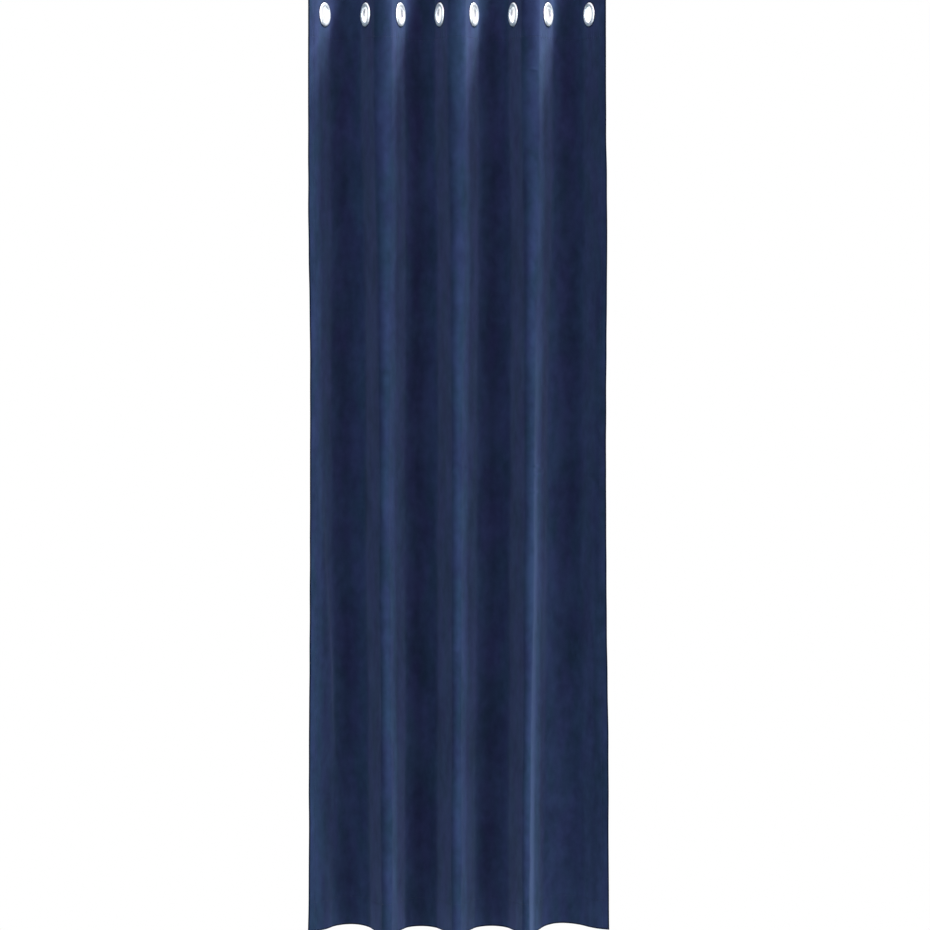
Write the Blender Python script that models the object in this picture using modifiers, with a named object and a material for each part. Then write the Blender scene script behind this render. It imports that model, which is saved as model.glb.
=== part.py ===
"""One hung panel of a velvet eyelet curtain: a wavy cloth, its heading band with
eight cut holes, and a two-part ring in each hole.

Metres, +Z up. The origin is the middle of the heading's top edge, on the line of
the rod. X runs along the rod, and the front of the curtain faces -Y.
"""

import collections
import math

import bmesh
import bpy
import numpy as np

MM = 0.001

# The cut cloth
FLAT_WIDTH = 1350 * MM
DROP = 2450 * MM
EYELETS = 8
PITCH = FLAT_WIDTH / EYELETS  # cloth from one ring to the next
HEADING_DEPTH = 124 * MM
HEADING_THICK = 3.0 * MM  # the cloth turned over twice
CLOTH_THICK = 1.6 * MM
HEM_THICK = 2.6 * MM
BOTTOM_HEM = 75 * MM
SIDE_HEM = 22 * MM
GAP = 0.3 * MM

# The rings
EYELET_DROP = 58.5 * MM  # top edge to the middle of a ring
HOLE_RADIUS = 21.6 * MM
RING_STEPS = 20

# How the cloth hangs
MIDDLE_DEPTH = 1200 * MM  # where the middle section was read
HEADING_STIFF = 150 * MM  # the rings hold the folds this far down
PANEL_ROWS = 16
HEADING_ROWS = 4
FINE_STEPS = 60  # steps of the section's length from one fold to the next
FRONT_TURN = 30 * MM  # cloth that bends on each side of a front fold, at the rings
BACK_TURN = 54 * MM
BACK_START = PITCH - BACK_TURN
HEM_SHARPNESS = 2.2  # how closely the hem's humps gather at the back folds

# A row for each fold line, from the left edge to the right. x is its place along the
# rod, turn is the cloth that bends on each side of it, and lift is how much higher
# than the lowest point of the hem it ends. Front folds are tighter than back folds.
Fold = collections.namedtuple(
    "Fold", "name x_top x_middle x_hem turn_top turn_middle turn_hem lift"
)
FOLDS = [
    Fold("left_edge", -386.5, -382.1, -385.7, 40, 40, 105, 4.0),
    Fold("back_1", -292.3, -283.3, -278.0, 54, 60, 66, 12.0),
    Fold("front_1", -193.1, -189.3, -182.7, 30, 16, 18, 0.0),
    Fold("back_2", -97.4, -93.2, -95.8, 54, 56, 58, 6.5),
    Fold("front_2", -1.6, -1.2, -2.4, 30, 15, 16, 0.0),
    Fold("back_3", 94.7, 95.6, 89.1, 54, 58, 60, 7.0),
    Fold("front_3", 190.5, 188.3, 177.8, 30, 15, 13, 0.0),
    Fold("back_4", 289.7, 279.0, 272.6, 54, 58, 68, 15.0),
    Fold("right_edge", 385.2, 386.1, 393.5, 40, 46, 52, 8.0),
]
EDGE_SHARE = {"top": 0.80, "middle": 0.62, "hem": 0.62}  # the free edges' angle, of their flank's


def smooth(t):
    t = min(max(t, 0.0), 1.0)
    return t * t * (3 - 2 * t)


def flank_angles(peak, turn_left, turn_right, left_share, right_share):
    """The cloth's angle to the rod along one flank, from fold to fold."""
    along = (np.arange(FINE_STEPS) + 0.5) * PITCH / FINE_STEPS
    left = np.minimum(along / turn_left, 1)
    right = np.minimum((PITCH - along) / turn_right, 1)
    return peak * np.minimum(
        left_share + (1 - left_share) * left, right_share + (1 - right_share) * right
    )


def section_angles(level):
    """The angle of the whole section at one level, its flanks made as steep as its
    fold lines' spacing asks of the cloth between them."""
    angles = []
    for i in range(EYELETS):
        here, there = FOLDS[i], FOLDS[i + 1]
        width = (getattr(there, "x_" + level) - getattr(here, "x_" + level)) * MM
        turns = getattr(here, "turn_" + level) * MM, getattr(there, "turn_" + level) * MM
        shares = (
            EDGE_SHARE[level] if i == 0 else 0.0,
            EDGE_SHARE[level] if i == EYELETS - 1 else 0.0,
        )
        low, high = math.radians(5), math.radians(88)
        for _ in range(40):
            peak = (low + high) / 2
            spans = np.cos(flank_angles(peak, *turns, *shares)).sum() * PITCH / FINE_STEPS
            low, high = (peak, high) if spans > width else (low, peak)
        sign = 1 if i % 2 == 0 else -1
        angles.append(sign * flank_angles(peak, *turns, *shares))
    return np.concatenate(angles)


SECTIONS = {level: section_angles(level) for level in ("top", "middle", "hem")}


def section(depth):
    """The section's angles, and its points from the left edge, at a depth below the top."""
    if depth < MIDDLE_DEPTH:
        upper, lower = "top", "middle"
        share = smooth((depth - HEADING_STIFF) / (MIDDLE_DEPTH - HEADING_STIFF))
    else:
        upper, lower = "middle", "hem"
        share = smooth((depth - MIDDLE_DEPTH) / (DROP - MIDDLE_DEPTH))
    angles = (1 - share) * SECTIONS[upper] + share * SECTIONS[lower]
    step = FLAT_WIDTH / len(angles)
    x = np.concatenate([[0.0], np.cumsum(np.cos(angles)) * step])
    y = np.concatenate([[0.0], np.cumsum(np.sin(angles)) * step])
    edge = FOLDS[0]
    start = (1 - share) * getattr(edge, "x_" + upper) + share * getattr(edge, "x_" + lower)
    on_rod = np.mean([y[int((i + 0.5) * FINE_STEPS)] for i in range(EYELETS)])
    return angles, x + start * MM, y - on_rod


def hem_lift(along):
    """How much shorter than the drop the cloth hangs at a place along its width."""
    place = min(along / PITCH, EYELETS - 1e-9)
    index = int(place)
    front, back, share = FOLDS[index], FOLDS[index + 1], place - index
    if index % 2 == 1:
        front, back, share = back, front, 1 - share
    share = smooth(share) ** HEM_SHARPNESS
    return ((1 - share) * front.lift + share * back.lift) * MM


def cloth_point(along, depth, curve):
    """The middle of the cloth at a place along its width and down its drop."""
    place = along / FLAT_WIDTH * (len(curve[1]) - 1)
    index = np.arange(len(curve[1]))
    x, y = np.interp(place, index, curve[1]), np.interp(place, index, curve[2])
    return x, y, -depth * (1 - hem_lift(along) / DROP)


def column_places():
    """Places along the width for the mesh's columns: evenly through each bend, and
    further apart on the flat of the flank, where a ring sits."""
    bends = ((0, FRONT_TURN, 3), (FRONT_TURN, BACK_START, 3), (BACK_START, PITCH, 4))
    flank = np.concatenate([np.linspace(a, b, n, endpoint=False) for a, b, n in bends])
    places = []
    for i in range(EYELETS):
        from_front = i % 2 == 0
        places += list(i * PITCH + (flank if from_front else np.append(0, PITCH - flank[:0:-1])))
    places.append(FLAT_WIDTH)
    # The side hems' stitch lines take the columns nearest to them
    for seam in (SIDE_HEM, FLAT_WIDTH - SIDE_HEM):
        nearest = min(range(1, len(places) - 1), key=lambda k: abs(places[k] - seam))
        places[nearest] = seam
    return places


def named_collection(name):
    collection = bpy.data.collections.new(name)
    bpy.context.scene.collection.children.link(collection)
    return collection


def material(name, colour, roughness, metallic=0.0, sheen=0.0):
    made = bpy.data.materials.new(name)
    made.use_nodes = True
    shader = made.node_tree.nodes["Principled BSDF"]
    shader.inputs["Base Color"].default_value = (*colour, 1)
    shader.inputs["Roughness"].default_value = roughness
    shader.inputs["Metallic"].default_value = metallic
    shader.inputs["Sheen Weight"].default_value = sheen
    return made


def add_object(name, mesh, collection, finish=None):
    made = bpy.data.objects.new(name, mesh)
    collection.objects.link(made)
    if finish:
        mesh.materials.append(finish)
    mesh.shade_smooth()
    return made


def cloth_surface(name, depths):
    """An open wavy surface between the first and the last of these depths."""
    places = column_places()
    bm = bmesh.new()
    grid = []
    for depth in depths:
        curve = section(depth)
        grid.append([bm.verts.new(cloth_point(along, depth, curve)) for along in places])
    for upper, lower in zip(grid, grid[1:]):
        for k in range(len(places) - 1):
            bm.faces.new((upper[k], lower[k], lower[k + 1], upper[k + 1]))
    mesh = bpy.data.meshes.new(name)
    bm.to_mesh(mesh)
    bm.free()
    return mesh, places


def thicken(cloth, thickness, thin_share=None):
    solidify = cloth.modifiers.new("thickness", "SOLIDIFY")
    solidify.thickness = thickness
    solidify.offset = 0
    if thin_share:
        solidify.vertex_group = "hems"
        solidify.thickness_vertex_group = thin_share


def make_panel(collection, finish):
    """The cloth below the heading, thicker where its side and bottom hems are turned in."""
    top = HEADING_DEPTH + GAP
    seam = DROP - BOTTOM_HEM
    depths = [top + (seam - top) * k / PANEL_ROWS for k in range(PANEL_ROWS + 1)] + [DROP]
    mesh, places = cloth_surface("panel", depths)
    panel = add_object("panel", mesh, collection, finish)
    hems = panel.vertex_groups.new(name="hems")
    for row, depth in enumerate(depths):
        for column, along in enumerate(places):
            beside_edge = along <= SIDE_HEM or along >= FLAT_WIDTH - SIDE_HEM
            if beside_edge or depth >= seam:
                hems.add([row * len(places) + column], 1.0, "REPLACE")
    thicken(panel, HEM_THICK, CLOTH_THICK / HEM_THICK)
    return panel


def make_heading(collection, finish):
    """The stiff band at the top, with a round hole for each ring."""
    depths = [HEADING_DEPTH * k / HEADING_ROWS for k in range(HEADING_ROWS + 1)]
    mesh, _ = cloth_surface("heading", depths)
    heading = add_object("heading", mesh, collection, finish)
    thicken(heading, HEADING_THICK)
    return heading


def eyelet_places():
    """The middle of each ring, and the angle that the flank makes with the rod there."""
    curve = section(EYELET_DROP)
    for i in range(EYELETS):
        along = (i + 0.5) * PITCH
        x, y, z = cloth_point(along, EYELET_DROP, curve)
        yield i + 1, (x, y, z), curve[0][int((i + 0.5) * FINE_STEPS)]


def ring_mesh(name, profile):
    """A closed ring profile as edges at +X, for a Screw to turn."""
    mesh = bpy.data.meshes.new(name)
    points = [(radius * MM, 0, height * MM) for radius, height in profile]
    edges = [(k, (k + 1) % len(points)) for k in range(len(points))]
    mesh.from_pydata(points, edges, [])
    return mesh


# Radius and height in millimetres, the height from the middle of the cloth outwards
FRONT_RING = [
    (31.0, 3.0),
    (31.0, 1.8),
    (21.2, 1.8),
    (21.2, -3.6),
    (20.0, -3.6),
    (20.0, 2.6),
    (21.6, 4.6),
    (25.4, 5.3),
    (29.2, 4.6),
]
BACK_RING = [
    (30.0, -1.8),
    (29.6, -3.2),
    (26.8, -4.1),
    (23.4, -4.0),
    (21.6, -3.2),
    (21.6, -1.8),
]


def turn_ring(name, mesh, place, angle, collection):
    """A ring whose own axis points out of the front of the cloth."""
    ring = bpy.data.objects.new(name, mesh)
    collection.objects.link(ring)
    ring.location = place
    ring.rotation_euler = (math.pi / 2, 0, angle)
    screw = ring.modifiers.new("turn", "SCREW")
    screw.steps = screw.render_steps = RING_STEPS
    screw.merge_threshold = 0.0001
    screw.use_smooth_shade = True
    return ring


def make_rings(heading, parts, cutters, finish):
    front, back = ring_mesh("front_ring", FRONT_RING), ring_mesh("back_ring", BACK_RING)
    front.materials.append(finish)
    back.materials.append(finish)
    for number, place, angle in eyelet_places():
        turn_ring(f"eyelet_front_{number}", front, place, angle, parts)
        turn_ring(f"eyelet_back_{number}", back, place, angle, parts)
        bpy.ops.mesh.primitive_cylinder_add(
            vertices=RING_STEPS, radius=HOLE_RADIUS, depth=20 * MM, location=place,
            rotation=(math.pi / 2, 0, angle),
        )
        cutter = bpy.context.object
        cutter.name = f"hole_{number}"
        for owner in list(cutter.users_collection):
            owner.objects.unlink(cutter)
        cutters.objects.link(cutter)
        cutter.hide_render = True
        cutter.display_type = "WIRE"
        hole = heading.modifiers.new(f"hole_{number}", "BOOLEAN")
        hole.operation = "DIFFERENCE"
        hole.object = cutter


def main():
    for old in list(bpy.data.objects):
        bpy.data.objects.remove(old)
    parts = named_collection("velvet_eyelet_curtain")
    cutters = named_collection("cutters")
    velvet = material("navy_velvet", (0.012, 0.022, 0.070), 0.9, sheen=0.5)
    band = material("navy_velvet_heading", (0.014, 0.025, 0.075), 0.9, sheen=0.5)
    silver = material("satin_silver", (0.82, 0.84, 0.87), 0.25, metallic=1.0)
    make_panel(parts, velvet)
    heading = make_heading(parts, band)
    make_rings(heading, parts, cutters, silver)


main()
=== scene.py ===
# Velvet eyelet curtain panel: the looks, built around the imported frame.
import math

import bmesh
import bpy
import numpy as np
from mathutils import Matrix, Vector


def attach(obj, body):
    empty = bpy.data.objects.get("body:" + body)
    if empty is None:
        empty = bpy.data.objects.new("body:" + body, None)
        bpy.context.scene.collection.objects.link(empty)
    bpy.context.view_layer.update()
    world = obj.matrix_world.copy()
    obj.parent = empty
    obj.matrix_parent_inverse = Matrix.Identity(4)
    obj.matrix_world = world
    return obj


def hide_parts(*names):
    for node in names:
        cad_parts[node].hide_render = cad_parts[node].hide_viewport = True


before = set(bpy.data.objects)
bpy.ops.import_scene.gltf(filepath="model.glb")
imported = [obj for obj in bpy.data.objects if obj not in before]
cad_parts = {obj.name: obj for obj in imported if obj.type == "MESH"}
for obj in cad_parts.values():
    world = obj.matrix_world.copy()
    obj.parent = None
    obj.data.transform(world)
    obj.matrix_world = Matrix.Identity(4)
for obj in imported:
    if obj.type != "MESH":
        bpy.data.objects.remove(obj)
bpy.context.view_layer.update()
mm = 0.001
print("frame loaded:", len(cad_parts), "nodes")


# How the cloth was cut and how it hangs. The folds are those of the solids.
cloth = {
    "flatWidth": 1350 * mm,
    "drop": 2450 * mm,
    "eyelets": 8,
    "headingDepth": 124 * mm,
    "headingGap": 0.3 * mm,
    "eyeletDrop": 58.5 * mm,
    "middleDepth": 1200 * mm,
    "stiffDepth": 150 * mm,
    "fineSteps": 60,
    "edgeShare": {"top": 0.80, "middle": 0.62, "hem": 0.62},
    "hemSharpness": 2.2,
    "flankRange": (5, 88),
    "searchSteps": 40,
}
pitch = cloth["flatWidth"] / cloth["eyelets"]
bandEnd = cloth["headingDepth"] + cloth["headingGap"] / 2  # where heading and panel meet

# name, place along the rod at the top, middle and hem, cloth that bends beside the
# fold at the same three levels (mm), and how much higher than the lowest hem it ends (mm)
foldRows = [
    ("leftEdge", (-386.5, -382.1, -385.7), (40, 40, 105), 4.0),
    ("back1", (-292.3, -283.3, -278.0), (54, 60, 66), 12.0),
    ("front1", (-193.1, -189.3, -182.7), (30, 16, 18), 0.0),
    ("back2", (-97.4, -93.2, -95.8), (54, 56, 58), 6.5),
    ("front2", (-1.6, -1.2, -2.4), (30, 15, 16), 0.0),
    ("back3", (94.7, 95.6, 89.1), (54, 58, 60), 7.0),
    ("front3", (190.5, 188.3, 177.8), (30, 15, 13), 0.0),
    ("back4", (289.7, 279.0, 272.6), (54, 58, 68), 15.0),
    ("rightEdge", (385.2, 386.1, 393.5), (40, 46, 52), 8.0),
]
levels = ("top", "middle", "hem")


def smooth(t):
    t = np.clip(t, 0, 1)
    return t * t * (3 - 2 * t)


def flankAngles(peak, turnLeft, turnRight, shareLeft, shareRight):
    along = (np.arange(cloth["fineSteps"]) + 0.5) * pitch / cloth["fineSteps"]
    left = shareLeft + (1 - shareLeft) * np.minimum(along / turnLeft, 1)
    right = shareRight + (1 - shareRight) * np.minimum((pitch - along) / turnRight, 1)
    return peak * np.minimum(left, right)


def sectionAngles(level):  # each flank as steep as its fold lines' spacing asks
    angles = []
    for i in range(cloth["eyelets"]):
        (_, placeA, turnA, _), (_, placeB, turnB, _) = foldRows[i], foldRows[i + 1]
        width = (placeB[level] - placeA[level]) * mm
        edge = cloth["edgeShare"][levels[level]]
        shape = (
            turnA[level] * mm, turnB[level] * mm,
            edge if i == 0 else 0.0, edge if i == cloth["eyelets"] - 1 else 0.0,
        )
        low, high = (math.radians(angle) for angle in cloth["flankRange"])
        for _ in range(cloth["searchSteps"]):
            peak = (low + high) / 2
            spans = np.cos(flankAngles(peak, *shape)).sum() * pitch / cloth["fineSteps"]
            low, high = (peak, high) if spans > width else (low, peak)
        angles.append((1 if i % 2 == 0 else -1) * flankAngles(peak, *shape))
    return np.concatenate(angles)


sections = [sectionAngles(level) for level in range(len(levels))]


def section(depth):  # angles, x and y along the cloth at one depth
    if depth < cloth["middleDepth"]:
        upper, start, end = 0, cloth["stiffDepth"], cloth["middleDepth"]
    else:
        upper, start, end = 1, cloth["middleDepth"], cloth["drop"]
    share = float(smooth((depth - start) / (end - start)))
    angles = (1 - share) * sections[upper] + share * sections[upper + 1]
    step = cloth["flatWidth"] / len(angles)
    x = np.concatenate([[0.0], np.cumsum(np.cos(angles)) * step])
    y = np.concatenate([[0.0], np.cumsum(np.sin(angles)) * step])
    edge = foldRows[0][1]
    onRod = np.mean([y[int((i + 0.5) * cloth["fineSteps"])] for i in range(cloth["eyelets"])])
    return angles, x + ((1 - share) * edge[upper] + share * edge[upper + 1]) * mm, y - onRod


def hemLift(along):
    place = np.clip(along / pitch, 0, cloth["eyelets"] - 1e-9)
    index = place.astype(int)
    lifts = np.array([row[3] for row in foldRows]) * mm
    fromFront = index % 2 == 0
    front = np.where(fromFront, lifts[index], lifts[index + 1])
    back = np.where(fromFront, lifts[index + 1], lifts[index])
    share = np.where(fromFront, place - index, 1 - (place - index))
    share = smooth(share) ** cloth["hemSharpness"]
    return (1 - share) * front + share * back


def clothRow(along, depth):  # points on the cloth's middle and its outward directions
    angles, x, y = section(depth)
    marks = np.arange(len(x)) * cloth["flatWidth"] / (len(x) - 1)
    middles = (marks[1:] + marks[:-1]) / 2
    angle = np.interp(along, middles, angles)
    points = np.stack([
        np.interp(along, marks, x), np.interp(along, marks, y),
        -depth * (1 - hemLift(along) / cloth["drop"]),
    ], axis=-1)
    outward = np.stack([np.sin(angle), -np.cos(angle), np.zeros_like(angle)], axis=-1)
    return points, outward


# Small unevenness of the hung velvet, as heights along its own outward direction
drape = {
    "slowHeight": 1.3 * mm, "quickHeight": 0.45 * mm, "seed": 7, "waves": 9,
    "puckerHeight": 0.35 * mm, "puckerPitch": 13 * mm, "puckerReach": 16 * mm,
    "puckerFrom": 95 * mm, "easeDown": 350 * mm, "ridgeFade": 180 * mm,
}
# Creases left by packing: name, middle across and down the cloth, half length, half width
# and height (mm), and slope
creases = [
    ("halfFoldA", 706, 1246, 60, 5, 1.8, 0.02),
    ("halfFoldB", 1010, 1236, 42, 4, 1.7, 0.05),
    ("halfFoldC", 1052, 1258, 38, 5, 2.2, -0.10),
    ("halfFoldD", 1020, 1304, 34, 4, 1.4, 0.03),
    ("halfFoldE", 700, 1342, 30, 5, 1.6, 0.06),
    ("halfFoldF", 1290, 1270, 45, 4, 1.3, 0.08),
    ("halfFoldG", 360, 1250, 70, 6, 1.3, -0.03),
    ("quarterFoldA", 1000, 205, 30, 4, 1.6, 0.12),
    ("quarterFoldB", 655, 214, 22, 4, 1.1, -0.08),
    ("lowFoldA", 1230, 2330, 30, 4, 1.4, 0.05),
    ("lowFoldB", 1190, 2410, 22, 3, 1.2, 0.1),
    ("knockA", 345, 700, 26, 9, 0.9, 0.9),
    ("knockB", 1015, 930, 20, 8, 0.8, -1.1),
    ("knockC", 676, 1720, 24, 9, 0.9, 0.7),
    ("knockD", 330, 1950, 22, 8, 0.8, -0.8),
]
# Soft ridges pressed along the folds: name, middle across the cloth where it starts and where
# it ends, the two depths, half width on its left and right, rise at the start and end (mm)
ridges = [
    ("leftPanel", (42, 146), (1250, 2400), (32, 17), (2.6, 4.2)),
]
random = np.random.RandomState(drape["seed"])
slowWaves = [
    (random.uniform(-22, 22), random.uniform(3, 13), random.uniform(0, 2 * math.pi))
    for _ in range(drape["waves"])
]
quickWaves = [
    (random.uniform(-75, 75), random.uniform(18, 60), random.uniform(0, 2 * math.pi))
    for _ in range(drape["waves"])
]


def unevenness(along, depth):
    height = np.zeros_like(along)
    for waves, most in ((slowWaves, drape["slowHeight"]), (quickWaves, drape["quickHeight"])):
        for across, down, phase in waves:
            wave = np.sin(across * along + down * depth + phase)
            height = height + most / math.sqrt(len(waves)) * wave
    height = height * smooth((depth - cloth["headingDepth"]) / drape["easeDown"])
    for _, middleU, middleS, halfLength, halfWidth, rise, slope in creases:
        across = (along - middleU * mm) / (halfLength * mm)
        down = (depth - middleS * mm - slope * (along - middleU * mm)) / (halfWidth * mm)
        height = height + rise * mm * np.exp(-across ** 4) * np.exp(-down ** 2)
    return height + ridgeHeight(along, depth)


def ridgeHeight(along, depth):
    height = np.zeros_like(along)
    for _, middles, ends, wide, rises in ridges:
        start, end = ends[0] * mm, ends[1] * mm
        share = (depth - start) / (end - start)
        fade = smooth((depth - start) / drape["ridgeFade"])
        fade = fade * smooth((end - depth) / drape["ridgeFade"])
        share = min(max(share, 0.0), 1.0)
        away = along - (middles[0] + (middles[1] - middles[0]) * share) * mm
        across = away / np.where(away < 0, wide[0] * mm, wide[1] * mm)
        rise = (rises[0] + (rises[1] - rises[0]) * share) * mm
        height = height + rise * fade * np.exp(-across ** 2)
    return height


def puckers(along, depth, seamDepth):  # small gathers that a stitched line draws
    near = np.exp(-((depth - seamDepth) / drape["puckerReach"]) ** 2)
    wobble = np.sin(2 * math.pi * along / drape["puckerPitch"] + 3.1 * np.sin(29 * along))
    uneven = 0.55 + 0.45 * np.sin(41 * along + 1.7 * np.sin(13 * along))
    return drape["puckerHeight"] * near * wobble * uneven


# Sewn lines, and how thick the cloth is on each side of its middle
sewing = {
    "sideHem": 22 * mm, "bottomHem": 75 * mm, "grooveDepth": 0.35 * mm, "grooveWidth": 1.3 * mm,
    "clothHalf": 0.8 * mm, "hemBack": 1.8 * mm, "headingHalf": 1.5 * mm, "easeDown": 70 * mm,
    "edgeRound": 1.4 * mm, "leastShare": 0.15, "hemStep": 3 * mm, "hemBeyond": 2.5 * mm,
}
seamS = {"heading": cloth["headingDepth"] - 3 * mm, "hem": cloth["drop"] - sewing["bottomHem"]}
seamU = {"left": sewing["sideHem"], "right": cloth["flatWidth"] - sewing["sideHem"]}


def groove(distance):
    return -sewing["grooveDepth"] * np.exp(-((distance / sewing["grooveWidth"]) ** 2))


def rounded(along, depth):  # share of the thickness left beside a free edge
    inside = np.minimum(along, cloth["flatWidth"] - along)
    inside = np.minimum(inside, min(depth, cloth["drop"] - depth))
    share = np.sqrt(1 - (1 - np.clip(inside / sewing["edgeRound"], 0, 1)) ** 2)
    return np.maximum(share, sewing["leastShare"])


def frontHeight(along, depth):
    ease = smooth((depth - cloth["headingDepth"]) / sewing["easeDown"])
    half = sewing["headingHalf"] * (1 - ease) + sewing["clothHalf"] * ease
    height = half * rounded(along, depth) + unevenness(along, depth)
    height = height + puckers(along, depth, seamS["heading"]) * (depth > drape["puckerFrom"])
    height = height + puckers(along, depth, seamS["hem"])
    height = height + groove(depth - seamS["heading"]) + groove(depth - seamS["hem"])
    return height + groove(along - seamU["left"]) + groove(along - seamU["right"])


def headingBack(along, depth):
    return sewing["headingHalf"] * rounded(along, depth) - unevenness(along, depth)


def panelBack(along, depth):  # thicker where the hems are turned in
    inside = np.minimum(along - seamU["left"], seamU["right"] - along)
    inside = np.minimum(inside, seamS["hem"] - depth)
    turned = 1 - smooth((inside - sewing["hemBeyond"]) / sewing["hemStep"] + 0.5)
    back = sewing["clothHalf"] + (sewing["hemBack"] - sewing["clothHalf"]) * turned
    return back * rounded(along, depth) - unevenness(along, depth)


def spread(start, end, step, close=()):
    # Evenly spaced places, and closer ones about each (place, spacing, count each way)
    even = np.linspace(start, end, round((end - start) / step) + 1)
    kept = [p for p in even if all(abs(p - q) > (n + 0.4) * d for q, d, n in close)]
    for q, d, n in close:
        kept += [q + k * d for k in range(-n, n + 1)]
    kept = sorted({round(p, 6) for p in kept if start < p < end} | {start, end})
    places = [kept[0]]
    for p in kept[1:-1]:
        if p - places[-1] > 0.2 * mm and end - p > 0.2 * mm:
            places.append(p)
    return np.array(places + [end])


def sheetMesh(name, alongs, depths, backHeight, holes=()):
    # A closed sheet: front and back faces, and walls wherever the cloth ends
    rows, columns = len(depths), len(alongs)
    front, back = np.zeros((rows, columns, 3)), np.zeros((rows, columns, 3))
    flat = np.zeros((rows, columns, 2))
    for r, depth in enumerate(depths):
        points, outward = clothRow(alongs, depth)
        front[r] = points + outward * frontHeight(alongs, depth)[:, None]
        back[r] = points - outward * backHeight(alongs, depth)[:, None]
        flat[r] = np.stack([alongs, np.full(columns, cloth["drop"] - depth)], axis=-1)
    kept = np.ones((rows - 1, columns - 1), bool)
    middleU = (alongs[1:] + alongs[:-1]) / 2
    middleS = (depths[1:] + depths[:-1]) / 2
    for centreU, centreS, radius in holes:
        far = np.hypot(middleU[None, :] - centreU, middleS[:, None] - centreS) > radius
        kept &= far
    faces, uvs = [], []
    count = rows * columns
    index = np.arange(count).reshape(rows, columns)

    def addFace(corners):
        faces.append(corners)
        uvs.extend(flat.reshape(-1, 2)[c % count] for c in corners)

    for r in range(rows - 1):
        for c in range(columns - 1):
            if not kept[r, c]:
                continue
            a, b, d, e = index[r, c], index[r + 1, c], index[r + 1, c + 1], index[r, c + 1]
            addFace((a, b, d, e))
            addFace((e + count, d + count, b + count, a + count))
            for nr, nc, p, q in ((r - 1, c, e, a), (r + 1, c, b, d), (r, c - 1, a, b), (r, c + 1, d, e)):
                outside = not (0 <= nr < rows - 1 and 0 <= nc < columns - 1) or not kept[nr, nc]
                if outside:
                    addFace((p, p + count, q + count, q))
    # Holes are pulled to true circles
    used = np.zeros((rows, columns), int)
    for r in range(rows - 1):
        for c in range(columns - 1):
            if kept[r, c]:
                used[r:r + 2, c:c + 2] += 1
    for centreU, centreS, radius in holes:
        for r in range(1, rows - 1):
            for c in range(1, columns - 1):
                du, ds = alongs[c] - centreU, depths[r] - centreS
                if 0 < used[r, c] < 4 and math.hypot(du, ds) < radius * 1.3:
                    scale = radius / math.hypot(du, ds)
                    newU, newS = centreU + du * scale, centreS + ds * scale
                    points, outward = clothRow(np.array([newU]), newS)
                    front[r, c] = points[0] + outward[0] * frontHeight(np.array([newU]), newS)[0]
                    back[r, c] = points[0] - outward[0] * backHeight(np.array([newU]), newS)[0]
    mesh = bpy.data.meshes.new(name)
    mesh.from_pydata(np.concatenate([front.reshape(-1, 3), back.reshape(-1, 3)]).tolist(), [], faces)
    layer = mesh.uv_layers.new(name="clothFlat")
    layer.data.foreach_set("uv", np.array(uvs, dtype=np.float32).ravel())
    loose = np.tile(used.reshape(-1) == 0, 2)
    bm = bmesh.new()
    bm.from_mesh(mesh)
    bm.verts.ensure_lookup_table()
    bmesh.ops.delete(bm, geom=[bm.verts[i] for i in np.nonzero(loose)[0]], context="VERTS")
    bm.to_mesh(mesh)
    bm.free()
    mesh.shade_smooth()
    mesh.set_sharp_from_angle(angle=math.radians(55))
    made = bpy.data.objects.new(name, mesh)
    bpy.context.scene.collection.objects.link(made)
    return made


# Shaders
def newNode(tree, kind, **values):
    node = tree.nodes.new(kind)
    for key, value in values.items():
        setattr(node, key, value)
    return node


def setInputs(node, values):
    for key, value in values.items():
        node.inputs[key].default_value = value


def pileGroup():
    # Mottled shade and grain of a cut pile, on the flat cloth's own sizes
    tree = bpy.data.node_groups.new("cutPile", "ShaderNodeTree")
    sockets = (
        ("Flat", "INPUT", "NodeSocketVector", None), ("BlendShare", "INPUT", "NodeSocketFloat", 0.44),
        ("Mottle", "OUTPUT", "NodeSocketFloat", None), ("Grain", "OUTPUT", "NodeSocketFloat", None),
        ("Hue", "OUTPUT", "NodeSocketFloat", None),
    )
    for name, side, kind, value in sockets:
        made = tree.interface.new_socket(name=name, in_out=side, socket_type=kind)
        if value is not None:
            made.default_value = value
    enter, leave = newNode(tree, "NodeGroupInput"), newNode(tree, "NodeGroupOutput")

    def noise(stretch, scale, detail, rough):
        mapping = newNode(tree, "ShaderNodeMapping")
        mapping.inputs["Scale"].default_value = stretch
        made = newNode(tree, "ShaderNodeTexNoise")
        setInputs(made, {"Scale": scale, "Detail": detail, "Roughness": rough})
        tree.links.new(enter.outputs["Flat"], mapping.inputs["Vector"])
        tree.links.new(mapping.outputs["Vector"], made.inputs["Vector"])
        return made.outputs["Fac"]

    broad, patch = noise((1, 0.35, 1), 14, 3, 0.55), noise((1, 0.7, 1), 42, 4, 0.6)
    fine, hue = noise((1, 0.6, 1), 900, 2, 0.6), noise((1, 0.3, 1), 20, 3, 0.55)
    blend = newNode(tree, "ShaderNodeMix", data_type="FLOAT")
    tree.links.new(enter.outputs["BlendShare"], blend.inputs[0])
    tree.links.new(broad, blend.inputs[2])
    tree.links.new(patch, blend.inputs[3])
    tree.links.new(blend.outputs[0], leave.inputs["Mottle"])
    tree.links.new(fine, leave.inputs["Grain"])
    tree.links.new(hue, leave.inputs["Hue"])
    return tree


cutPile = pileGroup()


def mathNode(tree, operation, first, second=0.0):  # either may be a socket or a number
    node = newNode(tree, "ShaderNodeMath", operation=operation)
    for k, value in enumerate((first, second)):
        if isinstance(value, (int, float)):
            node.inputs[k].default_value = value
        else:
            tree.links.new(value, node.inputs[k])
    return node.outputs[0]


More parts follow.
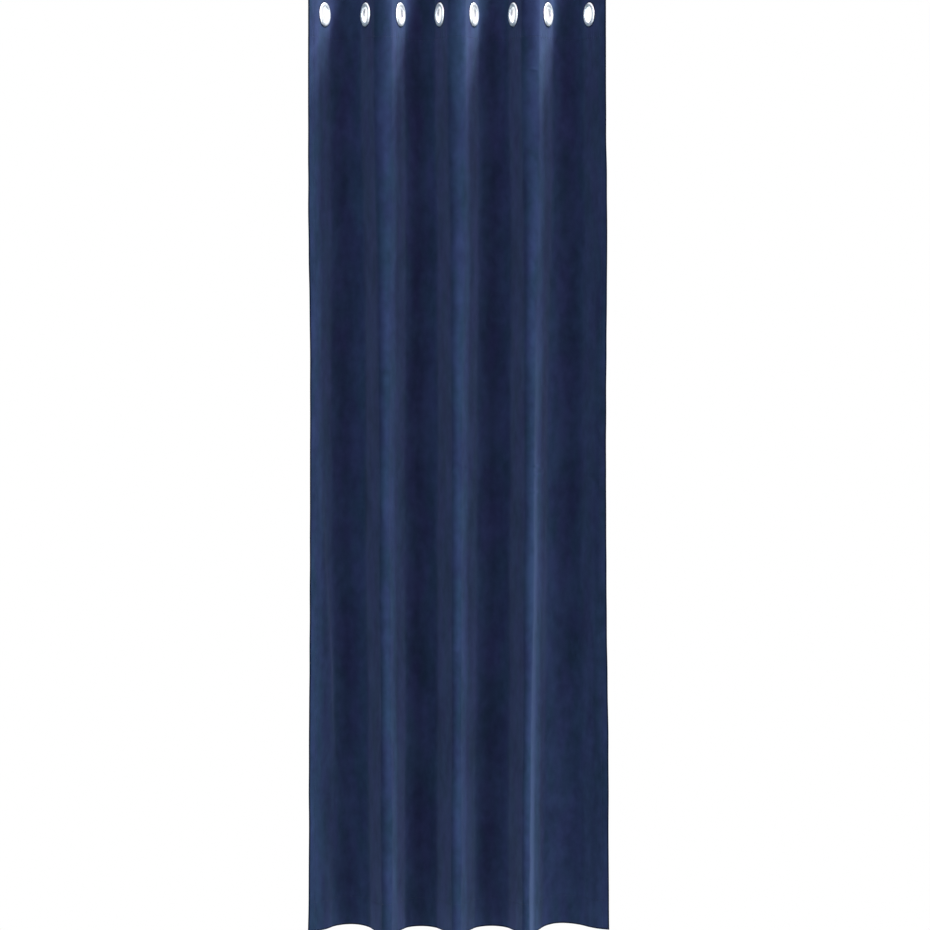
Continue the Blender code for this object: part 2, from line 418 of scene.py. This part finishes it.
def fadeNode(tree, distance, near, far):  # 1 up to near, 0 from far on
    node = newNode(tree, "ShaderNodeMapRange", interpolation_type="SMOOTHSTEP")
    setInputs(node, {"From Min": near, "From Max": far, "To Min": 1.0, "To Max": 0.0})
    tree.links.new(distance, node.inputs["Value"])
    return node.outputs[0]


# How far the painted edge shade, the darker pile at seams and the painted contact shadow round each
# eyelet reach: full up to the first distance, and gone at the second
seamAndShadeReach = {
    "edge": (2.0 * mm, 5.5 * mm), "seam": (0.3 * mm, 1.6 * mm), "ring": (31.5 * mm, 37.5 * mm),
}


def seamsAndPaintedShadeGroup():
    # Painted shade along free edges and a painted contact shadow round each eyelet, with the pile
    # pressed darker along seams
    tree = bpy.data.node_groups.new("seamsAndPaintedShade", "ShaderNodeTree")
    tree.interface.new_socket(name="Flat", in_out="INPUT", socket_type="NodeSocketVector")
    for name in ("Edge", "Seam", "Ring"):
        tree.interface.new_socket(name=name, in_out="INPUT", socket_type="NodeSocketFloat")
    tree.interface.new_socket(name="SeamsAndShade", in_out="OUTPUT", socket_type="NodeSocketFloat")
    enter, leave = newNode(tree, "NodeGroupInput"), newNode(tree, "NodeGroupOutput")
    parts = newNode(tree, "ShaderNodeSeparateXYZ")
    tree.links.new(enter.outputs["Flat"], parts.inputs[0])
    u, v = parts.outputs[0], parts.outputs[1]
    inside = mathNode(tree, "MINIMUM", u, mathNode(tree, "SUBTRACT", cloth["flatWidth"], u))
    # painted shade along the free edges
    edges = fadeNode(tree, mathNode(tree, "MINIMUM", inside, v), *seamAndShadeReach["edge"])
    seam = mathNode(tree, "ABSOLUTE", mathNode(tree, "SUBTRACT", inside, sewing["sideHem"]))
    for place in (cloth["drop"] - seamS["heading"], cloth["drop"] - seamS["hem"]):
        distance = mathNode(tree, "ABSOLUTE", mathNode(tree, "SUBTRACT", v, place))
        seam = mathNode(tree, "MINIMUM", seam, distance)
    seams = fadeNode(tree, seam, *seamAndShadeReach["seam"])
    fromRing = mathNode(tree, "SUBTRACT", mathNode(tree, "MODULO", u, pitch), pitch / 2)
    down = mathNode(tree, "SUBTRACT", v, cloth["drop"] - cloth["eyeletDrop"])
    squares = mathNode(
        tree, "ADD", mathNode(tree, "POWER", mathNode(tree, "ABSOLUTE", fromRing), 2.0),
        mathNode(tree, "POWER", mathNode(tree, "ABSOLUTE", down), 2.0))
    # painted contact shadow of each ring on the cloth
    ringShadowMask = fadeNode(tree, mathNode(tree, "SQRT", squares), *seamAndShadeReach["ring"])
    shares = [
        mathNode(tree, "MULTIPLY", mask, enter.outputs[name])
        for mask, name in ((edges, "Edge"), (seams, "Seam"), (ringShadowMask, "Ring"))
    ]
    most = mathNode(tree, "MAXIMUM", shares[0], mathNode(tree, "MAXIMUM", shares[1], shares[2]))
    tree.links.new(most, leave.inputs["SeamsAndShade"])
    return tree


seamsAndPaintedShade = seamsAndPaintedShadeGroup()

# Painted highlight: a lighter colour along a fold's crest where a lamp's highlight falls: name, place
# across the cloth, half width on its left and right, depth where it starts and depth where it is full
# (mm), and share there
paintedHighlightStrips = [
    ("frontFold3", 1031, (13, 32), 700, 1500, 0.25),
    ("frontFold3Low", 1040, (18, 26), 1800, 2450, 0.26),
]
paintedHighlightCore = 0.25  # share of each half width that gets the painted highlight in full


# Mask of the painted highlight strips along fold crests, in the flat cloth's sizes
def paintedHighlightGroup():
    tree = bpy.data.node_groups.new("paintedHighlight", "ShaderNodeTree")
    tree.interface.new_socket(name="Flat", in_out="INPUT", socket_type="NodeSocketVector")
    tree.interface.new_socket(name="BlendShare", in_out="OUTPUT", socket_type="NodeSocketFloat")
    enter, leave = newNode(tree, "NodeGroupInput"), newNode(tree, "NodeGroupOutput")
    parts = newNode(tree, "ShaderNodeSeparateXYZ")
    tree.links.new(enter.outputs["Flat"], parts.inputs[0])
    total = 0.0
    for _, place, wide, start, full, share in paintedHighlightStrips:
        leftReach, rightReach = wide[0] * mm, wide[1] * mm
        away = mathNode(tree, "SUBTRACT", parts.outputs[0], place * mm)
        right = fadeNode(tree, away, paintedHighlightCore * rightReach, rightReach)
        away = mathNode(tree, "MULTIPLY", away, -1.0)
        left = fadeNode(tree, away, paintedHighlightCore * leftReach, leftReach)
        down = fadeNode(tree, parts.outputs[1], cloth["drop"] - full * mm, cloth["drop"] - start * mm)
        strip = mathNode(tree, "MULTIPLY", mathNode(tree, "MULTIPLY", left, right), down)
        total = mathNode(tree, "ADD", mathNode(tree, "MULTIPLY", strip, share), total)
    tree.links.new(total, leave.inputs["BlendShare"])
    return tree


paintedHighlight = paintedHighlightGroup()

velvetLook = {
    "deep": (0.0117, 0.0186, 0.0435), "lit": (0.0275, 0.0426, 0.0995), "mottle": (0.375, 0.625),
    "purple": (0.0232, 0.0270, 0.0790), "teal": (0.0142, 0.0325, 0.0570), "hue": (0.38, 0.62),
    # The lighter blue here is a painted highlight for a fold's crest; the near-black one is painted
    # shade at free edges and round eyelets, and darker pile at seams
    "hueShare": 0.42, "paintedCrestHighlight": (0.062, 0.084, 0.165), "seamAndShadeColour": (0.002, 0.003, 0.008),
    "roughness": 0.85, "specular": 0.0,
    "sheen": 0.25, "sheenRoughness": 0.38, "sheenTint": (0.47, 0.59, 1.0),
    "bump": 0.35, "bumpDistance": 0.6 * mm,
    # shares of painted edge shade, darker seam pile and painted eyelet shadow
    "edgeShadeShare": 0.80, "seamPressed": 0.12, "ringShadowShare": 0.80,
}


def mixColours(tree, share, first, second):  # sockets, or colours as three numbers
    node = newNode(tree, "ShaderNodeMix", data_type="RGBA")
    for value, place in ((share, 0), (first, 6), (second, 7)):
        if isinstance(value, float):
            node.inputs[place].default_value = value
        elif isinstance(value, tuple):
            node.inputs[place].default_value = (*value, 1)
        else:
            tree.links.new(value, node.inputs[place])
    return node.outputs[2]


def stretched(tree, value, low, high):
    node = newNode(tree, "ShaderNodeMapRange")
    setInputs(node, {"From Min": low, "From Max": high})
    tree.links.new(value, node.inputs["Value"])
    return node.outputs[0]


def velvetMaterial(name, look):
    made = bpy.data.materials.new(name)
    made.use_nodes = True
    tree = made.node_tree
    shader = tree.nodes["Principled BSDF"]
    setInputs(shader, {
        "Roughness": look["roughness"], "Specular IOR Level": look["specular"],
        "Sheen Weight": look["sheen"], "Sheen Roughness": look["sheenRoughness"],
        "Sheen Tint": (*look["sheenTint"], 1),
    })
    flat = newNode(tree, "ShaderNodeUVMap", uv_map="clothFlat")
    pile, seamsAndShadeMix, paintedCrestHighlight = (newNode(tree, "ShaderNodeGroup") for _ in range(3))
    pile.node_tree, seamsAndShadeMix.node_tree, paintedCrestHighlight.node_tree = cutPile, seamsAndPaintedShade, paintedHighlight
    setInputs(seamsAndShadeMix, {
        "Edge": look["edgeShadeShare"], "Seam": look["seamPressed"], "Ring": look["ringShadowShare"],
    })
    for group in (pile, seamsAndShadeMix, paintedCrestHighlight):
        tree.links.new(flat.outputs["UV"], group.inputs["Flat"])
    mottle = stretched(tree, pile.outputs["Mottle"], *look["mottle"])
    shade = mixColours(tree, mottle, look["deep"], look["lit"])
    tint = stretched(tree, pile.outputs["Hue"], *look["hue"])
    hue = mixColours(tree, tint, look["teal"], look["purple"])
    colour = mixColours(tree, look["hueShare"], shade, hue)
    # Painted highlight along fold 3's crest
    colour = mixColours(tree, paintedCrestHighlight.outputs["BlendShare"], colour, look["paintedCrestHighlight"])
    # Painted shade along free edges and round each eyelet, and darker pile along seams
    colour = mixColours(tree, seamsAndShadeMix.outputs["SeamsAndShade"], colour, look["seamAndShadeColour"])
    tree.links.new(colour, shader.inputs["Base Color"])
    bump = newNode(tree, "ShaderNodeBump")
    setInputs(bump, {"Strength": look["bump"], "Distance": look["bumpDistance"]})
    tree.links.new(pile.outputs["Grain"], bump.inputs["Height"])
    tree.links.new(bump.outputs["Normal"], shader.inputs["Normal"])
    return made


silverLook = {
    "base": (0.97, 0.975, 0.985), "dull": (0.88, 0.89, 0.91), "roughness": 0.30,
    "metal": 0.6, "scale": 90.0, "detail": 4, "smoother": 0.06, "rougher": 0.12,
    "bump": 0.05, "bumpDistance": 0.2 * mm,
}


def silverMaterial(name, look):
    made = bpy.data.materials.new(name)
    made.use_nodes = True
    tree = made.node_tree
    shader = tree.nodes["Principled BSDF"]
    setInputs(shader, {"Metallic": look["metal"], "Roughness": look["roughness"]})
    coords = newNode(tree, "ShaderNodeTexCoord")
    noise = newNode(tree, "ShaderNodeTexNoise")
    setInputs(noise, {"Scale": look["scale"], "Detail": look["detail"]})
    tree.links.new(coords.outputs["Object"], noise.inputs["Vector"])
    colour = mixColours(tree, noise.outputs["Fac"], look["dull"], look["base"])
    tree.links.new(colour, shader.inputs["Base Color"])
    worn = newNode(tree, "ShaderNodeMapRange")
    setInputs(worn, {
        "To Min": look["roughness"] - look["smoother"], "To Max": look["roughness"] + look["rougher"],
    })
    tree.links.new(noise.outputs["Fac"], worn.inputs["Value"])
    tree.links.new(worn.outputs[0], shader.inputs["Roughness"])
    bump = newNode(tree, "ShaderNodeBump")
    setInputs(bump, {"Strength": look["bump"], "Distance": look["bumpDistance"]})
    tree.links.new(noise.outputs["Fac"], bump.inputs["Height"])
    tree.links.new(bump.outputs["Normal"], shader.inputs["Normal"])
    return made


velvet = velvetMaterial("navyVelvet", velvetLook)
silver = silverMaterial("satinSilver", silverLook)
print("materials made")


# The cloth itself
grid = {
    "column": 7.4 * mm, "row": 24 * mm, "headingColumn": 3.0 * mm, "headingRow": 3.0 * mm,
    "seamStep": 1.2 * mm, "edgeStep": 0.5 * mm, "creaseStep": 3.8 * mm,
    "holeRadius": 21.5 * mm, "creaseReach": 1.6, "slopeReach": 0.6,
    "crests": (338, 676, 1019), "crestStep": 3.0 * mm, "bandSeamStep": 1.0 * mm,
}
edgeColumns = [(0.0, grid["edgeStep"], 3), (cloth["flatWidth"], grid["edgeStep"], 3)]
seamColumns = [(u, grid["seamStep"], 2) for u in seamU.values()]
creaseRows = []
for _, _, s, half, wide, _, slope in creases:
    reach = (grid["creaseReach"] * wide + grid["slopeReach"] * abs(slope) * half) * mm
    creaseRows.append((s * mm, grid["creaseStep"], math.ceil(reach / grid["creaseStep"])))
panelDepths = spread(bandEnd, cloth["drop"], grid["row"], creaseRows + [
    (seamS["hem"], grid["seamStep"], 3), (cloth["drop"], grid["edgeStep"], 3),
])
crestColumns = [(u * mm, grid["crestStep"], 6) for u in grid["crests"]]
panelCloth = sheetMesh(
    "panelCloth",
    spread(0.0, cloth["flatWidth"], grid["column"], edgeColumns + seamColumns + crestColumns),
    panelDepths, panelBack)
eyeletAlong = [(i + 0.5) * pitch for i in range(cloth["eyelets"])]
headingBand = sheetMesh(
    "headingBand",
    spread(0.0, cloth["flatWidth"], grid["headingColumn"], edgeColumns + seamColumns),
    spread(0.0, bandEnd, grid["headingRow"], [
        (seamS["heading"], grid["bandSeamStep"], 2), (0.0, grid["edgeStep"], 3),
    ]),
    headingBack,
    [(u, cloth["eyeletDrop"], grid["holeRadius"]) for u in eyeletAlong],
)
for piece in (panelCloth, headingBand):
    piece.data.materials.append(velvet)
print("cloth made:", len(panelCloth.data.polygons), len(headingBand.data.polygons), "faces")


# Stitches in the heading's seam and the hems, on the front and the back of the cloth
stitching = {
    "pitch": 3.6 * mm, "length": 2.7 * mm, "thread": 0.45 * mm, "uneven": 0.12, "seed": 3,
    "above": 0.12 * mm, "guideStep": 4 * mm, "fromEdge": 6 * mm,
    "colour": (0.017, 0.029, 0.072), "worn": (0.026, 0.040, 0.092), "roughness": 0.7,
    "specular": 0.2, "sheen": 0.15, "detail": 2, "bump": 0.3,
}


def threadMaterial(name, look):
    made = bpy.data.materials.new(name)
    made.use_nodes = True
    tree = made.node_tree
    shader = tree.nodes["Principled BSDF"]
    setInputs(shader, {
        "Roughness": look["roughness"], "Specular IOR Level": look["specular"],
        "Sheen Weight": look["sheen"],
    })
    coords = newNode(tree, "ShaderNodeTexCoord")
    twist = newNode(tree, "ShaderNodeTexNoise")
    setInputs(twist, {"Scale": 1 / look["thread"], "Detail": look["detail"]})
    tree.links.new(coords.outputs["Object"], twist.inputs["Vector"])
    colour = mixColours(tree, twist.outputs["Fac"], look["colour"], look["worn"])
    tree.links.new(colour, shader.inputs["Base Color"])
    bump = newNode(tree, "ShaderNodeBump")
    setInputs(bump, {"Strength": look["bump"], "Distance": look["thread"] / 4})
    tree.links.new(twist.outputs["Fac"], bump.inputs["Height"])
    tree.links.new(bump.outputs["Normal"], shader.inputs["Normal"])
    return made


def stitchTree():
    # A thread bead at each pitch along every guide line, turned along it
    tree = bpy.data.node_groups.new("seamStitches", "GeometryNodeTree")
    sockets = (
        ("Guide", "NodeSocketGeometry"), ("Pitch", "NodeSocketFloat"), ("Length", "NodeSocketFloat"),
        ("Thread", "NodeSocketFloat"), ("Uneven", "NodeSocketFloat"), ("Seed", "NodeSocketInt"),
        ("Finish", "NodeSocketMaterial"),
    )
    for name, kind in sockets:
        tree.interface.new_socket(name=name, in_out="INPUT", socket_type=kind)
    tree.interface.new_socket(name="Stitches", in_out="OUTPUT", socket_type="NodeSocketGeometry")
    enter, leave = newNode(tree, "NodeGroupInput"), newNode(tree, "NodeGroupOutput")
    line = newNode(tree, "GeometryNodeMeshToCurve")
    spaced = newNode(tree, "GeometryNodeResampleCurve", mode="LENGTH")
    tangent = newNode(tree, "GeometryNodeInputTangent")
    turned = newNode(tree, "FunctionNodeAlignRotationToVector", axis="X")
    bead = newNode(tree, "GeometryNodeMeshUVSphere")
    setInputs(bead, {"Segments": 6, "Rings": 4, "Radius": 0.5})
    size = newNode(tree, "ShaderNodeCombineXYZ")
    change = newNode(tree, "FunctionNodeRandomValue", data_type="FLOAT")
    scaled = newNode(tree, "ShaderNodeVectorMath", operation="SCALE")
    placed = newNode(tree, "GeometryNodeInstanceOnPoints")
    real = newNode(tree, "GeometryNodeRealizeInstances")
    smoothed = newNode(tree, "GeometryNodeSetShadeSmooth")
    finish = newNode(tree, "GeometryNodeSetMaterial")
    least = mathNode(tree, "SUBTRACT", 1.0, enter.outputs["Uneven"])
    most = mathNode(tree, "ADD", 1.0, enter.outputs["Uneven"])
    links = (
        (enter.outputs["Guide"], line.inputs["Mesh"]), (line.outputs["Curve"], spaced.inputs["Curve"]),
        (enter.outputs["Pitch"], spaced.inputs["Length"]),
        (spaced.outputs["Curve"], placed.inputs["Points"]),
        (tangent.outputs[0], turned.inputs["Vector"]), (turned.outputs[0], placed.inputs["Rotation"]),
        (enter.outputs["Length"], size.inputs[0]), (enter.outputs["Thread"], size.inputs[1]),
        (enter.outputs["Thread"], size.inputs[2]), (size.outputs[0], scaled.inputs[0]),
        (enter.outputs["Seed"], change.inputs["Seed"]), (change.outputs[1], scaled.inputs["Scale"]),
        (scaled.outputs[0], placed.inputs["Scale"]), (bead.outputs["Mesh"], placed.inputs["Instance"]),
        (placed.outputs[0], real.inputs[0]), (real.outputs[0], smoothed.inputs[0]),
        (smoothed.outputs[0], finish.inputs["Geometry"]),
        (enter.outputs["Finish"], finish.inputs["Material"]),
        (finish.outputs[0], leave.inputs[0]),
    )
    for start, end in links:
        tree.links.new(start, end)
    ranges = [s for s in change.inputs if s.enabled and s.name in ("Min", "Max")]
    for socket, value in zip(ranges, (least, most)):
        tree.links.new(value, socket)
    return tree


def seamLines(heightAt, side):  # side is 1 on the front of the cloth and -1 on its back
    lines = []
    start, width, drop = stitching["fromEdge"], cloth["flatWidth"], cloth["drop"]
    alongs = np.arange(start, width - start, stitching["guideStep"])
    for depth in seamS.values():
        points, outward = clothRow(alongs, depth)
        rise = heightAt(alongs, depth) + stitching["above"]
        lines.append(points + side * outward * rise[:, None])
    for u in seamU.values():
        line = []
        for depth in np.arange(start, drop - start, stitching["guideStep"]):
            points, outward = clothRow(np.array([u]), depth)
            rise = heightAt(np.array([u]), depth) + stitching["above"]
            line.append(points[0] + side * outward[0] * rise[0])
        lines.append(np.array(line))
    return lines


def stitchPiece(name, lines, tree, finish):
    points, edges = [], []
    for line in lines:
        edges += [(len(points) + k, len(points) + k + 1) for k in range(len(line) - 1)]
        points += line.tolist()
    guide = bpy.data.meshes.new(name)
    guide.from_pydata(points, edges, [])
    made = bpy.data.objects.new(name, guide)
    bpy.context.scene.collection.objects.link(made)
    modifier = made.modifiers.new("stitches", "NODES")
    modifier.node_group = tree
    values = {
        "Pitch": stitching["pitch"], "Length": stitching["length"], "Thread": stitching["thread"],
        "Uneven": stitching["uneven"], "Seed": stitching["seed"], "Finish": finish,
    }
    for item in tree.interface.items_tree:
        if item.in_out == "INPUT" and item.name in values:
            modifier[item.identifier] = values[item.name]
    evaluated = made.evaluated_get(bpy.context.evaluated_depsgraph_get())
    mesh = bpy.data.meshes.new_from_object(evaluated)
    made.modifiers.remove(modifier)
    made.data = mesh
    return made


def backHeight(along, depth):
    return (headingBack if depth < bandEnd else panelBack)(along, depth)


navyThread = threadMaterial("navyThread", stitching)
seamStitches = stitchTree()
frontStitches = stitchPiece("frontStitches", seamLines(frontHeight, 1), seamStitches, navyThread)
backStitches = stitchPiece("backStitches", seamLines(backHeight, -1), seamStitches, navyThread)
for piece in (frontStitches, backStitches):
    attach(piece, "root")
print("stitches made:", len(frontStitches.data.polygons), len(backStitches.data.polygons), "faces")


# Eyelet rings, turned from profiles of radius and height above the cloth's middle (mm)
ringShape = {
    "steps": 64,
    "front": [
        (31.0, 1.75), (21.2, 1.75), (21.2, -3.6), (20.0, -3.6), (20.0, 1.6), (20.15, 2.7), (20.7, 3.6),
        (21.5, 4.35), (22.6, 4.85), (23.3, 4.75), (23.9, 4.95), (25.4, 5.3), (27.0, 5.15), (28.6, 4.75),
        (29.8, 4.15), (30.6, 3.4), (30.95, 2.6),
    ],
    "back": [
        (30.0, -1.8), (29.95, -2.4), (29.5, -3.1), (28.6, -3.6), (27.0, -4.0), (25.0, -4.1),
        (23.4, -4.0), (22.3, -3.7), (21.6, -3.2), (21.6, -1.8),
    ],
}


def turnedRing(name, profile, place, angle):
    steps, count = ringShape["steps"], len(profile)
    upright = Matrix.Rotation(math.pi / 2, 4, "X")
    turn = Matrix.Translation(place) @ Matrix.Rotation(angle, 4, "Z") @ upright
    points = []
    for k in range(steps):
        around = 2 * math.pi * k / steps
        for radius, height in profile:
            local = Vector((radius * mm * math.cos(around), radius * mm * math.sin(around), height * mm))
            points.append(turn @ local)
    faces = []
    for k in range(steps):
        for j in range(count):
            here, there = k * count, (k + 1) % steps * count
            nextJ = (j + 1) % count
            faces.append((here + j, here + nextJ, there + nextJ, there + j))
    mesh = bpy.data.meshes.new(name)
    mesh.from_pydata(points, [], faces)
    bm = bmesh.new()
    bm.from_mesh(mesh)
    bmesh.ops.recalc_face_normals(bm, faces=bm.faces)
    bm.to_mesh(mesh)
    bm.free()
    mesh.shade_smooth()
    mesh.set_sharp_from_angle(angle=math.radians(40))
    mesh.materials.append(silver)
    made = bpy.data.objects.new(name, mesh)
    bpy.context.scene.collection.objects.link(made)
    return made


for number, u in enumerate(eyeletAlong, start=1):
    points, outward = clothRow(np.array([u]), cloth["eyeletDrop"])
    angle = math.atan2(outward[0][0], -outward[0][1])
    for side in ("front", "back"):
        ring = turnedRing(f"{side}Ring{number}", ringShape[side], Vector(points[0]), angle)
        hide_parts(f"eyelet_{side}_{number}")
        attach(ring, "root")

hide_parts("panel")
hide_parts("heading")
for piece in (panelCloth, headingBand):
    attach(piece, "root")


# Stage, camera and light
stageLook = {
    "floor": -2.95, "radius": 3.2, "corners": 64, "white": (0.68, 0.68, 0.68), "roughness": 0.9,
}
bpy.ops.mesh.primitive_circle_add(
    vertices=stageLook["corners"], radius=stageLook["radius"], fill_type="NGON",
    location=(0, 0, stageLook["floor"]))
floor = bpy.context.object
floor.name = "paleFloor"
paper = bpy.data.materials.new("palePaper")
paper.use_nodes = True
setInputs(paper.node_tree.nodes["Principled BSDF"], {
    "Base Color": (*stageLook["white"], 1), "Roughness": stageLook["roughness"],
})
floor.data.materials.append(paper)

view = {
    "distance": 12.0, "height": -1.2345, "across": 0.0199, "pixelsPerMetre": 383.1,
    "frame": 930, "sensor": 36.0, "farthest": 100,
}
camera = bpy.data.objects.new("camera", bpy.data.cameras.new("camera"))
bpy.context.scene.collection.objects.link(camera)
camera.location = (view["across"], -view["distance"], view["height"])
camera.rotation_euler = (math.pi / 2, 0, 0)
camera.data.sensor_width = view["sensor"]
camera.data.lens = view["pixelsPerMetre"] * view["distance"] / view["frame"] * view["sensor"]
camera.data.clip_end = view["farthest"]
bpy.context.scene.camera = camera

# name, azimuth from the front towards the right, elevation, size, power, colour
lights = [
    ("leftFill", -40, 20, 2.5, 182, (0.63, 0.96, 1.0)),
    ("frontTop", 0, 45, 2.0, 141, (1.0, 0.67, 0.92)),
    ("frontRight", 45, 0, 2.0, 240, (0.82, 1.0, 1.0)),
    ("sideRight", 75, -5, 0.8, 161, (0.71, 1.0, 0.93)),
    ("highRight", 99, 63, 1.7, 748, (0.92, 0.97, 1.0)),
    ("backFill", 180, 20, 3.0, 260, (0.95, 0.98, 1.0)),
]
lighting = {"distance": 6.0, "middle": Vector((0, 0, -1.2)), "ambient": 0.015, "gloss": 1.5}
for name, azimuth, elevation, size, power, colour in lights:
    across, up = math.radians(azimuth), math.radians(elevation)
    towards = Vector((
        math.sin(across) * math.cos(up), -math.cos(across) * math.cos(up), math.sin(up)))
    lamp = bpy.data.objects.new(name, bpy.data.lights.new(name, "AREA"))
    lamp.data.size = size
    lamp.data.energy = power
    lamp.data.color = colour
    lamp.location = lighting["middle"] + towards * lighting["distance"]
    lamp.rotation_euler = (-towards).to_track_quat("-Z", "Y").to_euler()
    bpy.context.scene.collection.objects.link(lamp)

world = bpy.data.worlds.new("studio")
bpy.context.scene.world = world
world.use_nodes = True
tree = world.node_tree
background = tree.nodes["Background"]
path = newNode(tree, "ShaderNodeLightPath")
forGloss = newNode(tree, "ShaderNodeMix", data_type="FLOAT")
forGloss.inputs[2].default_value = lighting["ambient"]
forGloss.inputs[3].default_value = lighting["gloss"]
forCamera = newNode(tree, "ShaderNodeMix", data_type="FLOAT")
forCamera.inputs[3].default_value = 1.0
tree.links.new(path.outputs["Is Glossy Ray"], forGloss.inputs[0])
tree.links.new(forGloss.outputs[0], forCamera.inputs[2])
tree.links.new(path.outputs["Is Camera Ray"], forCamera.inputs[0])
tree.links.new(forCamera.outputs[0], background.inputs["Strength"])
setInputs(background, {"Color": (1, 1, 1, 1)})
bpy.context.scene.view_settings.view_transform = "Standard"
